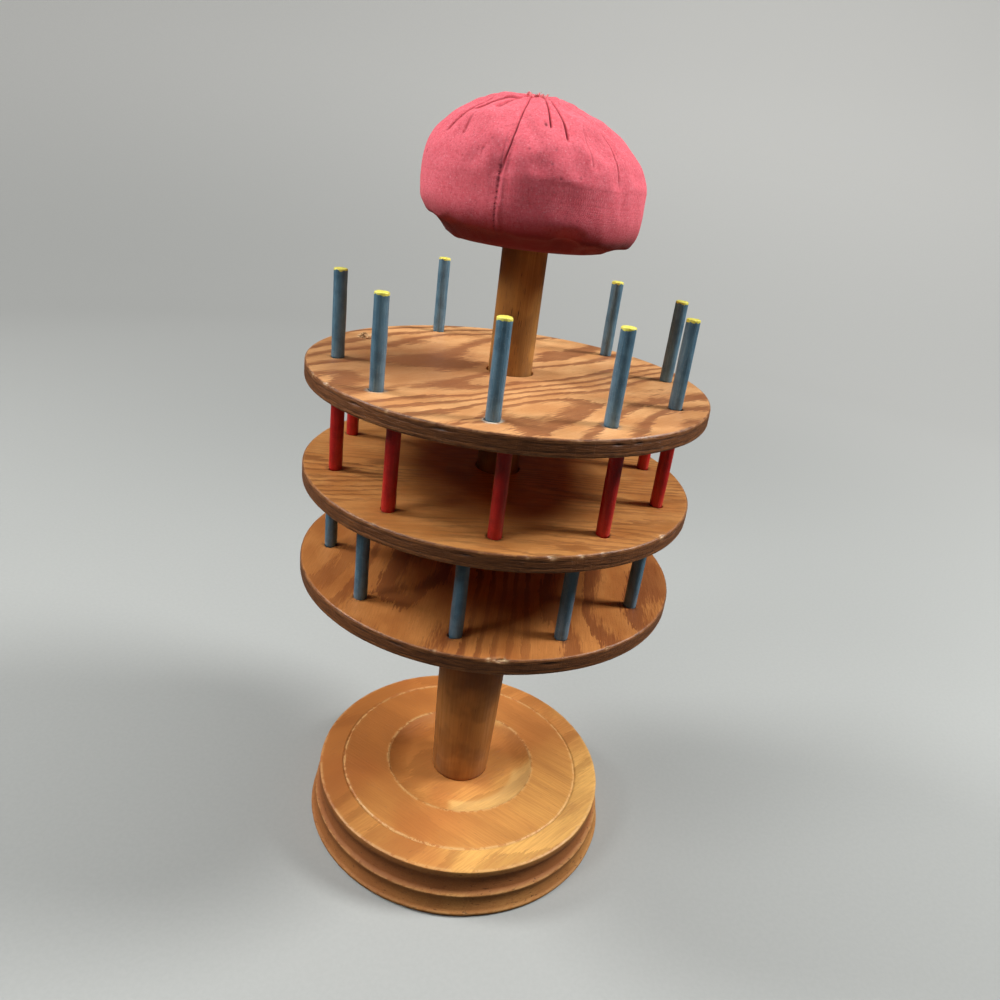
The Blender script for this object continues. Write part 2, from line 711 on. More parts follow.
discShape = {
    "bore": 8.95,
    "ease": 1.0,  # rounding of the sanded edge
    "seat": 4.8,  # depth and radius of a peg's hole
    "hole": 2.18,
    "mouth": 0.42,  # how far a chipped hole's mouth opens
    "holeColumns": 40,
    "columns": 540,
    "step": 1.6,
}
tiers = {
    "top": {
        "body": "top_tier", "slot": "ply_light", "seed": 31, "emptyHole": (155.6, 64.5),
        "grain": 47, "lines": 5.0, "slope": -11.0, "along": 0.085, "across": 0.036, "feather": 0.13,
        "fan": (-0.040, -0.002, 1.25), "band": 0.86, "fine": 0.30, "calm": 0.0, "shift": (0.0, 0.0, 0.0),
        "pale": tint(234, 178, 120), "warm": tint(206, 144, 90), "dark": tint(132, 74, 44),
        # white filler round a hole: peg number and share
        "filler": {8: 1.0, 7: 0.45, 9: 0.35},
        "brown": (-0.034, -0.006, 0.5),  # middle of the browner part in metres, and its share
        # chips in the rim, as azimuth, half length and depth in millimetres, and gaps in the plies
        "chips": [(-141, 1.6, 0.5), (-150, 0.8, 0.4), (-118, 0.9, 0.35), (-72, 0.7, 0.3)],
        "gaps": [(-62, 1.6), (-56, 1.1), (-104, 2.2), (-128, 1.4), (20, 2.0), (88, 1.8), (160, 2.4)],
    },
    "middle": {
        "body": "middle_tier", "slot": "ply_tan", "seed": 41, "emptyHole": None,
        "grain": 8, "lines": 7.0, "slope": 34.0, "along": 0.09, "across": 0.016, "feather": 0.16,
        "fan": (0, 0.01, 0.0), "band": 0.66, "fine": 0.36, "calm": 0.75, "shift": (0.03, 0.01, 0.3),
        "pale": tint(218, 154, 88), "warm": tint(188, 122, 62), "dark": tint(118, 66, 32),
        "filler": {}, "brown": (0.0, 0.0, 0.0),
        "chips": [
            (-74, 2.2, 0.5), (-66, 1.2, 0.45), (-80, 0.8, 0.35),
            (-60, 1.0, 0.4), (-38, 1.6, 0.5), (-120, 0.8, 0.3),
        ],
        "gaps": [(-30, 2.0), (-36, 1.2), (-95, 2.0), (60, 2.0), (140, 1.6)],
    },
    "bottom": {
        "body": "bottom_tier", "slot": "ply_red", "seed": 51, "emptyHole": None,
        "grain": 88, "lines": 4.0, "slope": 10.0, "along": 0.10, "across": 0.030, "feather": 0.14,
        "fan": (-0.026, 0.008, 0.75), "band": 0.80, "fine": 0.34, "calm": 0.6, "shift": (0.0, 0.0, 0.6),
        "pale": tint(208, 138, 74), "warm": tint(180, 110, 54), "dark": tint(112, 50, 26),
        "filler": {}, "brown": (0.0, 0.0, 0.0),
        "chips": [(-83, 2.6, 0.9), (-86, 1.0, 0.5), (-100, 0.7, 0.3), (-52, 1.0, 0.35), (-130, 0.9, 0.3)],
        "gaps": [(-110, 2.0), (-70, 1.8), (-20, 1.6), (75, 2.2), (170, 1.8)],
    },
}
plyEdge = {
    "pale": tint(156, 98, 54),
    "dark": tint(100, 58, 30),
    "glue": tint(52, 30, 16),
    "bare": tint(228, 190, 140),
    "filler": tint(232, 226, 208),
    "glueHeights": (0.30, 0.70),  # shares of the thickness
}


def tierPegs(tier):
    return [node for node in sorted(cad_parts) if node.startswith(tier + "_peg_")]


def makeDisc(tier):
    # the section runs out along the underside, up the rounded edge, in along the top and down the bore
    shape, look = discShape, tiers[tier]
    low, high = nodeBox(tier + "_disc")
    radius, bottom, top, ease, bore = high[0], low[2], high[2], shape["ease"], shape["bore"]
    inside = radius - ease - 0.1
    under = easedPath([(bore, top - 0.6, 0), (bore, bottom, 0.3), (inside, bottom, 0)], shape["step"])
    rim = [(inside, bottom, 0), (radius, bottom, ease), (radius, top, ease), (inside, top, 0)]
    over = easedPath([(inside, top, 0), (bore, top, 0.3), (bore, top - 0.6, 0)], shape["step"])
    profile = np.concatenate([under, easedPath(rim, 0.28, 7)[1:], over[1:-1]])
    rings = turned(profile, shape["columns"])
    reach, height = profile[:, :1], (profile[:, 1:2] - bottom) / (top - bottom)
    edge = smoothStep(radius - 0.8 * ease, radius - 0.2 * ease, reach)
    azimuth = np.arange(shape["columns"]) * 360 / shape["columns"]

    def rough(size, number):
        return waveNoise(rings, size, look["seed"] + number)

    def along(turn):
        # distance along the rim from an azimuth, in millimetres
        return angleGap(azimuth, turn) * radius * tau / 360

    # dark glue lines a little sunk, a core of torn end grain, and gaps where a ply's strip is missing
    wander = rough(18, 0) * 0.03
    glue = sum(bell(height - level - wander, 0.028) for level in plyEdge["glueHeights"])
    core = smoothStep(0.28, 0.33, height) * smoothStep(0.72, 0.67, height)
    layers = waveNoise(rings * (1, 1, 7), 2.4, look["seed"] + 1)
    gaps = sum(bell(along(turn), half) for turn, half in look["gaps"])
    gaps = gaps * bell(height - plyEdge["glueHeights"][1] - wander, 0.06) * edge
    uneven = edge * (-0.09 * glue + core * layers * 0.05 + rough(30, 2) * 0.14)
    # chips and nicks along the arrises
    arris = bell(reach - radius + 0.3, 0.5) * (bell(height - 0.97, 0.12) + bell(height - 0.03, 0.12))
    upper = bell(reach - radius + 0.35, 0.6) * bell(height - 0.95, 0.14)
    chips = sum(depth * bell(along(turn), half) ** 2 for turn, half, depth in look["chips"])
    chips = chips * upper * (1 + 0.5 * rough(1.5, 3))
    nicks = np.clip(rough(3.2, 4) - 1.8, 0, 1) * arris * 0.5
    rings = pushedOut(rings, uneven - chips - nicks - 0.5 * gaps)
    rings[..., 2] += (1 - edge) * np.sign(height - 0.5) * rough(45, 5) * 0.05
    rings[..., 2] -= chips * 0.7
    marks = {
        "edge": edge,
        "glue": np.clip(glue * edge + gaps * 1.5, 0, 1),
        "core": core * edge,
        "chip": np.clip(chips * 2.2, 0, 1) * smoothStep(-0.6, 0.5, rough(0.9, 6)),
        "worn": np.clip(arris, 0, 1),
    }
    return ringMesh(tier + "DiscPly", rings, ends="looped", marks=marks)


def holeForm(centre, top, seed):
    # a drill's path: straight in the wood, and opened unevenly at the mouth by broken fibres
    shape = discShape
    count = shape["holeColumns"]
    angle = np.arange(count) * tau / count
    rng = np.random.default_rng(seed)
    side = rng.uniform(0, tau)
    torn = np.clip(np.cos(angle - side), 0, 1) ** 2 * rng.uniform(0.3, 1.0)
    torn = torn + 0.25 * np.clip(np.cos(3 * angle + seed) * np.cos(7 * angle), 0, 1)
    depth = np.array([-shape["seat"], -shape["seat"], -1.1, -0.5, -0.15, 0.05, 0.6])[:, None]
    opening = smoothStep(-1.2, 0.1, depth) * shape["mouth"]
    radius = shape["hole"] + opening * (0.5 + 2.2 * torn)
    radius[0] = 0
    rings = polar(radius, angle, top + depth) + (*centre[:2], 0)
    lid = np.broadcast_to([*centre[:2], top + 0.6], (1, count, 3))
    return np.concatenate([rings, lid])


def emptyHoleForm(centre, top, seed):
    # the lost peg tore its hole: a ragged star of splinters round the drill's path
    form = holeForm(centre, top, seed)
    angle = np.arange(form.shape[1]) * tau / form.shape[1]
    ragged = 1 + 0.55 * np.abs(np.cos(2.5 * angle + 0.6)) + 0.3 * np.cos(7 * angle)
    mouth = smoothStep(-1.3, 0.1, form[:-1, 0, 2] - top)[:, None]
    for axis in (0, 1):
        offset = form[:-1, :, axis] - centre[axis]
        form[:-1, :, axis] = centre[axis] + offset * (1 + mouth * (ragged - 0.55))
    return form


def drill(disc, tier):
    # every hole of the tier is cut from the disc in one pass
    look, top = tiers[tier], nodeBox(tier + "_disc")[1][2]
    spots = {int(node.split("_")[-1]): (sum(nodeBox(node)) / 2)[:2] for node in tierPegs(tier)}
    forms = [holeForm(spot, top, look["seed"] + number) for number, spot in spots.items()]
    if look["emptyHole"]:
        turn, reach = look["emptyHole"]
        spots["empty"] = polar(reach, math.radians(turn), 0)[:2]
        forms.append(emptyHoleForm(spots["empty"], top, look["seed"]))
    cutters = [ringMesh("cutter", form) for form in forms]
    work = bmesh.new()
    for cutter in cutters:
        dropLoose(cutter)
        work.from_mesh(cutter.data)
    joined = bpy.data.meshes.new("cutters")
    work.to_mesh(joined)
    work.free()
    tool = addObject("cutters", joined)
    cut = disc.modifiers.new("holes", "BOOLEAN")
    cut.object, cut.operation, cut.solver = tool, "DIFFERENCE", "EXACT"
    drilled = bpy.data.meshes.new_from_object(disc.evaluated_get(bpy.context.evaluated_depsgraph_get()))
    disc.modifiers.clear()
    disc.data = drilled
    tidyMesh(drilled, 50)
    for spare in cutters + [tool]:
        bpy.data.objects.remove(spare)
    markHoles(drilled, spots, look["filler"], top)


def markHoles(mesh, spots, filler, top):
    # soil in a ring round each hole, white filler where some was pressed in, and torn fibres at the empty one
    points = meshPoints(mesh)
    face = smoothStep(top - 1.0, top - 0.3, points[:, 2])
    marks = {"soil": 0 * face, "filler": 0 * face, "torn": 0 * face}
    for number, spot in spots.items():
        away = np.hypot(*(points[:, :2] - spot).T)
        if number == "empty":
            marks["torn"] = bell(away - 3.9, 1.6) * face
            continue
        marks["soil"] = np.maximum(marks["soil"], bell(away - 2.5, 0.7) * face)
        marks["filler"] = np.maximum(marks["filler"], bell(away - 2.8, 0.5) * face * filler.get(number, 0))
    for label, values in marks.items():
        addMark(mesh, label, values)


def makePlyMaterial(tier):
    look = tiers[tier]
    material, tree, shader = newMaterial(
        tier + "PlyVarnish", Coat_Weight=0.12, Coat_Roughness=0.3, Specular_IOR_Level=0.4)
    place = objectSpace(tree)
    grain = grainSpace(tree, look["grain"], look["shift"])
    low, high, rise = look["fan"]
    flame = useGroup(tree, flameGroup, {
        "Vector": grain, "Lift": fade(tree, partOf(tree, grain, 1), low, high, 0, rise),
        **{label.capitalize(): look[label] for label in ("lines", "slope", "along", "across", "feather")},
    })
    fibre = useGroup(tree, fibreGroup, {"Vector": grain, "Length": 0.010, "Width": 0.0004})
    x, y, share = look["brown"]
    away = between(tree, "DISTANCE", place, (x, y, 0.21))
    # the bands come and go over the disc
    patch = fade(tree, noise(tree, place, 17.0, 1.0, 0.4), 0.42, 0.62, 1.0 - look["calm"], 1.0)
    face = layered(tree, look["warm"], [
        (fibre["Cloud"], 1, look["pale"]),
        (flame["Ring"], look["fine"], look["warm"]),
        (fade(tree, away, 0.015, 0.052, share, 0.0), 1, look["dark"]),
        (flame["Band"], times(tree, patch, look["band"]), look["dark"]),
        (fibre["Streak"], 0.35, look["warm"]),
        (fibre["Pore"], 0.4, look["dark"]),
    ])
    # the edge: streaky veneers, an end-grain core, dark glue lines and gaps
    edge = mark(tree, "edge")
    streak = noise(tree, stretched(tree, place, (160, 160, 3000)), 1.0, 3.0, 0.65)
    streak = fade(tree, streak, 0.36, 0.64)
    patchy = fade(tree, noise(tree, place, 60.0, 2.0, 0.6), 0.35, 0.6, 0.25, 0.85)
    side = layered(tree, plyEdge["pale"], [
        (streak, 1, plyEdge["dark"]),
        (mark(tree, "core"), 0.35, plyEdge["dark"]),
        (mark(tree, "glue"), patchy, plyEdge["glue"]),
    ])
    colour = layered(tree, face, [
        (edge, 1, side),
        (broken(tree, place, "worn", 0.004, 0.4), 0.25, look["pale"]),
        (broken(tree, place, "soil", 0.0025, 0.55), 0.75, plyEdge["glue"]),
        (broken(tree, place, "filler", 0.0012, 0.78), 0.95, plyEdge["filler"]),
        (broken(tree, grain, "torn", 0.0014, 0.62), 0.9, plyEdge["bare"]),
        (mark(tree, "chip"), 1, plyEdge["bare"]),
    ])
    rough = fade(tree, fibre["Streak"], 0, 1, 0.36, 0.5)
    relief = maths(tree, "SUBTRACT", flame["Band"], fibre["Pore"])
    relief = maths(tree, "ADD", relief, times(tree, fibre["Streak"], 0.6))
    relief = maths(tree, "SUBTRACT", relief, times(tree, streak, edge))
    connect(tree, shader, colour, rough, relief, 0.00005)
    return material


for tier, look in tiers.items():
    disc = makeDisc(tier)
    drill(disc, tier)
    settle(disc, makePlyMaterial(tier), look["body"], look["slot"], tier + "_disc")
    print(tier, "disc made")


# Pegs

pegShape = {
    "bareRadius": 2.13,
    "lean": 0.004,  # how far a peg leans, as a share of its height
    "film": 0.08,  # thickness of the paint, and how unevenly it lies in long and short waves
    "waves": (0.05, 0.018),
    "columns": 36,
}
pegPaint = {
    "blue": {"base": tint(86, 124, 146), "thin": tint(122, 154, 168), "deep": tint(54, 80, 98)},
    "red": {"base": tint(190, 24, 22), "thin": tint(214, 52, 40), "deep": tint(140, 12, 10)},
    "yellow": tint(250, 240, 112),
    "yellowDeep": tint(224, 208, 62),
    "tipBand": 1.0,  # height of the yellow, in millimetres
}


def makePeg(node, tier, seed):
    # a turned stick: bare end in its hole, a shoulder, and a painted length whose tip is rounded by paint
    shape = pegShape
    low, high = nodeBox(node)
    centre, radius, bare = (low + high) / 2, (high[0] - low[0]) / 2, shape["bareRadius"]
    discTop = nodeBox(tier + "_disc")[1][2]
    height = high[2] - discTop
    corners = [
        (0, low[2] - discTop, 0), (bare, low[2] - discTop, 0.3), (bare, 0.02, 0), (radius, 0.02, 0.1),
        (radius, height - 0.05, 0.55), (0, height, 0),
    ]
    rings = turned(easedPath(corners, 1.0, 6), shape["columns"])
    painted = smoothStep(0.0, 1.0, rings[..., 2])
    rng = np.random.default_rng(seed)
    spot = rings + rng.uniform(-500, 500, 3)
    long, short = shape["waves"]
    film = waveNoise(spot, 14, 5) * long + waveNoise(spot, 2.2, 6) * short + shape["film"]
    rings = pushedOut(rings, painted * film)
    crown = smoothStep(height - 0.6, height - 0.1, rings[..., 2])
    rings[..., 2] += crown * (waveNoise(spot, 1.6, 7) * 0.05 - 0.06)
    lean = rng.uniform(-1, 1, 2) * shape["lean"]
    rings[..., :2] += centre[:2] + lean * np.clip(rings[..., 2:], 0, None)
    rings[..., 2] += discTop
    return ringMesh(node.replace("_peg_", "PegPainted_"), rings)


def makePegMaterial(name, paint, tipHeight=None):
    # brushed paint, and with a tip height yellow above a level that wavers a little
    material, tree, shader = newMaterial(name, Coat_Weight=0.15, Coat_Roughness=0.25, Specular_IOR_Level=0.45)
    place = objectSpace(tree)
    film = useGroup(tree, paintGroup, {"Vector": place})
    colour = layered(tree, paint["base"], [
        (film["Stroke"], 0.5, paint["thin"]),
        (film["Patch"], 0.4, paint["deep"]),
        (film["Pit"], 0.35, paint["thin"]),
    ])
    if tipHeight:
        drip = maths(tree, "MULTIPLY_ADD", noise(tree, place, 620.0, 1.0), 0.0022, -0.0011)
        level = maths(tree, "ADD", partOf(tree, place, 2), drip)
        foot = (tipHeight - pegPaint["tipBand"]) * mm
        yellow = layered(tree, pegPaint["yellow"], [(film["Patch"], 0.5, pegPaint["yellowDeep"])])
        colour = mixColour(tree, fade(tree, level, foot, foot + 0.00015), colour, yellow)
    rough = fade(tree, film["Stroke"], 0, 1, 0.34, 0.5)
    relief = maths(tree, "ADD", film["Stroke"], times(tree, film["Pit"], 0.8))
    connect(tree, shader, colour, rough, relief, 0.00006)
    return material


pegMaterials = {
    "top": makePegMaterial("bluePaintYellowTip", pegPaint["blue"], nodeBox("top_peg_1")[1][2]),
    "middle": makePegMaterial("redPaint", pegPaint["red"]),
    "bottom": makePegMaterial("bluePaint", pegPaint["blue"]),
}
pegSlots = {"top": "blue_paint", "middle": "red_paint", "bottom": "blue_paint"}
for tier, look in tiers.items():
    for i, node in enumerate(tierPegs(tier)):
        peg = makePeg(node, tier, look["seed"] * 100 + i)
        settle(peg, pegMaterials[tier], look["body"], pegSlots[tier], node)
print("pegs made")


# Pincushion

cushionShape = {
    "radius": 37.9,
    "waist": 22.0,
    "flat": 26.0,  # how far the underside lies flat, on the board
    "hole": 9.2,
    "raised": 0.7,  # how far the flat part lies above the frame's underside
    "cloth": 1.05,  # how far the hidden inner skin lies above the underside
    "stuffing": 4.5,  # and behind the outer skin
    "boardClear": 26.35,  # the inner skin comes no nearer to the middle than this, beside the board
    # rows are counted as shares of the way from the hole to the top: the flat underside ends at the first
    # share, and the widest part lies at the second
    "flatShare": 0.16,
    "waistShare": 0.42,
    "columns": 820,
    "corner": 4.8,  # how square the bottom corner is
    "lift": (5.8, -2.4, 1.2),  # how far the underside's edge is drawn up: mean, toward +X and toward +Y
    "crown": 1.24,  # how steeply the top runs in to the gather
    "slump": 2.65,  # how far the crown hangs down at +X, and stands up at -X
    "lumps": 0.4,
    "pole": (-0.5, -2.0),  # where the crown is highest
    "gather": (-2.7, -5.5),  # where the cloth is drawn together, a little to the front
    "dimple": 1.9,
    # folds drawn into the top: how far out from the gather and at which azimuth each runs, as shares of the
    # widest and degrees, then depth and half width in millimetres
    "folds": [
        ((0.05, 0.58, 0.77, 0.91, 0.99, 1.04, 1.25),
         (-101, -102, -102.6, -103.6, -104.8, -106, -106.2), 1.15, 0.5),
        ((0.08, 0.26, 0.36, 0.49, 0.66), (-112, -122, -136, -143, -151), 1.1, 0.6),
        ((0.10, 0.32, 0.43, 0.57), (-118, -124, -128, -129.3), 1.4, 0.8),
        ((0.40, 0.68, 0.92), (-155, -153, -150), 1.2, 0.7),
        ((0.50, 0.69, 0.92), (-142, -138.8, -133.5), 0.45, 0.6),
        ((0.06, 0.41, 0.59, 0.75), (-70, -76.3, -79.3, -81), 1.1, 0.6),
        ((0.06, 0.33, 0.60, 0.85), (-55, -64, -68.4, -72.3), 1.2, 0.65),
        ((0.08, 0.40, 0.65, 0.80, 0.93, 1.00, 1.12), (-38, -37, -37, -39.2, -43, -45.5, -47.5), 1.0, 0.6),
        ((0.10, 0.45, 0.69, 0.85), (-26, -26.5, -28, -31), 0.7, 0.6),
        ((0.68, 0.83, 0.99), (-57, -59.7, -61.5), 0.4, 0.5),
        ((0.08, 1.10), (4, 10), 1.4, 0.7), ((0.08, 0.80), (28, 36), 1.1, 0.8),
        ((0.06, 1.10), (58, 64), 1.4, 0.7), ((0.08, 0.85), (84, 92), 1.2, 0.8),
        ((0.06, 1.05), (110, 116), 1.3, 0.7), ((0.08, 1.10), (140, 146), 1.4, 0.7),
        ((0.08, 0.80), (166, 176), 1.1, 0.8),
    ],
    "seam": -106.2,
    "stitches": (8.0, 26.0, 1.7),  # lowest, highest and spacing of the stitches in the seam
    # pin holes and specks: azimuth, height above the underside and share
    "pricks": [
        (-84.0, 38.6, 1.3), (-105.5, 32.7, 0.4), (-116.7, 29.7, 0.6), (-93.7, 31.2, 0.6), (-80.2, 31.8, 0.5),
        (-113.3, 33.0, 0.4), (-82.4, 27.7, 0.5), (-78.1, 23.9, 0.7), (-68.5, 24.8, 0.6), (-73.3, 12.7, 0.4),
        (-67.6, 12.6, 0.4), (35, 31.0, 0.8), (80, 34.0, 0.8), (140, 29.0, 0.8), (170, 35.0, 0.8),
        (200, 27.0, 0.8),
    ],
}
cushionPuff = {
    "rows": 44,
    "columns": 120,
    "pressure": 4.0,
    "frames": 20,
    "stretch": 0.04,  # how much larger the cloth would like to be
    "cap": 3.0,  # millimetres that a point may move
}


def coverForm(share, columns):
    # the stuffed cover before it is gathered: flat from the hole outwards, then a square corner, drawn up
    # most at the left, that climbs to the waist, and an ellipse that closes the top
    shape = cushionShape
    low, high = nodeBox("pincushion")
    flatShare, waistShare, waist = shape["flatShare"], shape["waistShare"], shape["waist"]
    share = share[:, None]
    angle = np.arange(columns) * tau / columns
    power = 2 / shape["corner"]
    lift = shape["lift"][0] + shape["lift"][1] * np.cos(angle) + shape["lift"][2] * np.sin(angle)
    flat = np.clip(share / flatShare, 0, 1)
    turn = np.clip((share - flatShare) / (waistShare - flatShare), 0, 1) * tau / 4
    crown = np.clip((share - waistShare) / (1 - waistShare), 0, 1) * tau / 4
    under = shape["hole"] + (shape["flat"] - shape["hole"]) * flat
    outward = (shape["radius"] - shape["flat"]) * np.sin(turn) ** power
    over = shape["radius"] * np.maximum(np.cos(crown), 0) ** shape["crown"]
    radius = np.where(share < waistShare, under + outward, over)
    drawn = lift * smoothStep(shape["flat"] - 0.5, shape["flat"] + 8, radius)
    side = drawn + (waist - drawn) * (1 - np.maximum(np.cos(turn), 0) ** power)
    dome = waist + (high[2] - low[2] + 0.9 - waist) * np.sin(crown)
    slump = shape["slump"] * smoothStep(waistShare, 0.6, share)
    dome = dome - slump * radius * np.cos(angle) / shape["radius"]
    height = np.maximum(np.where(share < waistShare, side, dome), shape["raised"])
    rings = polar(radius, angle, low[2] + height)
    rings[..., :2] += np.array(shape["pole"]) * smoothStep(waistShare, 1, share)[..., None] ** 3
    return rings


def coverPlace(points):
    # azimuth in degrees and radius as a share of the widest, both seen from the gather at the top
    shape = cushionShape
    low = nodeBox("pincushion")[0][2] + shape["waist"]
    rise = smoothStep(0, 29, points[..., 2] - low) ** 1.5
    x, y = points[..., 0] - shape["gather"][0] * rise, points[..., 1] - shape["gather"][1] * rise
    return np.degrees(np.arctan2(y, x)), np.hypot(x, y) / shape["radius"]


def foldLine(fold, azimuth, reach):
    # signed distance from a fold in millimetres, and its depth there: it deepens outwards and ends short
    reaches, turns, depth, width = fold
    away = angleGap(azimuth, np.interp(reach, reaches, turns)) * reach * cushionShape["radius"] * tau / 360
    along = (reach - reaches[0]) / (reaches[-1] - reaches[0])
    ends = smoothStep(0, 0.1, along) * smoothStep(1.0, 0.9, along)
    return away, ends * (0.4 + 0.6 * np.clip(along, 0, 1))


def puffCover():
    # the cover is blown up as cloth, held at the hole, at the top and along its long folds; gives back how
    # far each point of the coarse net moved
    share = np.linspace(0, 1, cushionPuff["rows"])
    net = coverForm(share, cushionPuff["columns"])
    closed = np.concatenate([[np.broadcast_to(net[0].mean(axis=0), net[0].shape)], net])
    trial = ringMesh("coverTrial", closed)
    azimuth, reach = coverPlace(closed)
    hold = np.zeros(reach.shape)
    top = closed[..., 2] > closed[0, 0, 2] + cushionShape["waist"]
    for fold in cushionShape["folds"]:
        away, strength = foldLine(fold, azimuth, reach)
        hold = np.maximum(hold, bell(away, 2.4) * np.clip(0.65 * strength * fold[2], 0, 1) * top)
    hold = np.maximum(hold, smoothStep(0.16, 0.08, reach))
    hold = np.maximum(hold, (reach < 0.70) & ~top)
    group = trial.vertex_groups.new(name="held")
    levels = np.round(hold.ravel() * 10).astype(int)
    for level in np.unique(levels[levels > 0]):
        group.add(np.flatnonzero(levels == level).tolist(), level / 10, "REPLACE")
    start = meshPoints(trial.data)
    cloth = trial.modifiers.new("cover", "CLOTH")
    cloth.settings.vertex_group_mass = "held"
    cloth.settings.use_pressure = True
    cloth.settings.uniform_pressure_force = cushionPuff["pressure"]
    cloth.settings.effector_weights.gravity = 0
    cloth.settings.shrink_min = -cushionPuff["stretch"]
    cloth.collision_settings.use_collision = False
    for step in range(1, cushionPuff["frames"] + 1):
        bpy.context.scene.frame_set(step)
    blown = trial.evaluated_get(bpy.context.evaluated_depsgraph_get())
    moved = (meshPoints(blown.data) - start).reshape(closed.shape)[1:]
    bpy.context.scene.frame_set(1)
    bpy.data.objects.remove(trial)
    length = np.linalg.norm(moved, axis=-1, keepdims=True)
    moved *= np.minimum(1, cushionPuff["cap"] / np.maximum(length, 1e-9))
    # the underside keeps its height
    sink = np.minimum(moved[..., 2], 0)
    moved[..., 2] -= sink * smoothStep(0.46, 0.34, share)[:, None]
    print("cover puffed, largest move in mm:", round(float(length.max()), 2))
    return share, moved


def blendWeights(fine, coarse, width, period=None):
    # each fine place takes a bell-weighted mean of the coarse places near it
    gap = fine[:, None] - coarse[None, :]
    if period:
        gap = (gap + period / 2) % period - period / 2
    weight = np.exp(-((gap / width) ** 2))
    return weight / weight.sum(axis=1, keepdims=True)


def smoothCover(share, columns, puffed):
    # the cover's form on the fine grid, with the coarse net's moves spread over it
    skin = coverForm(share, columns)
    if puffed:
        coarse, moved = puffed
        nets = cushionPuff["columns"]
        rowsBy = blendWeights(share, coarse, 1.1 / cushionPuff["rows"])
        colsBy = blendWeights(np.arange(columns) / columns, np.arange(nets) / nets, 1.0 / nets, 1.0)
        skin = skin + np.einsum("ir,rcx,jc->ijx", rowsBy, moved, colsBy)
    return skin


def foldedIn(push, share, azimuth, reach):
    # a fold is a narrow tuck beside a wider hollow, with a lip of cloth laid over it; adds the folds to how
    # far the cloth is pushed out, and gives how dark they are
    dark = np.zeros_like(reach)
    above = smoothStep(cushionShape["waistShare"], 0.54, share)
    for crease in cushionShape["folds"]:
        line, strength = foldLine(crease, azimuth, reach)
        depth, width = crease[2:]
        tuck = bell(line, width * 0.55) + 0.45 * bell(line - 0.8, width * 2.6)
        lip = bell(line + width * 2.4, width * 2.4) * 0.2
        push = push + depth * strength * above * (lip - tuck)
        dark = np.maximum(dark, strength**2 * above * bell(line, width * 0.5) * min(1, depth))
    return push, dark


def innerSkin(skin, radius, share, base):
    # the stuffing's depth behind the outer skin, above its underside and round the board
    shape = cushionShape
    clear = shape["boardClear"]
    rows = np.unique(np.linspace(0, len(skin) - 1, 48).astype(int))[::-1]
    inner = pushedOut(skin[rows], -shape["stuffing"] * smoothStep(14, 30, radius[rows]))
    hidden = np.hypot(inner[..., 0], inner[..., 1])
    beside = (radius[rows] > shape["flat"] + 0.2) & (hidden < clear)
    inner[..., :2] *= np.where(beside, clear / np.maximum(hidden, 1e-6), 1)[..., None]
    sunk = shape["stuffing"] * smoothStep(0.42, 0.62, share[rows])
    raised = 0.35 * smoothStep(0.44, 0.40, share[rows])
    inner[..., 2] = np.maximum(inner[..., 2] - sunk + raised, base + shape["cloth"])
    return inner


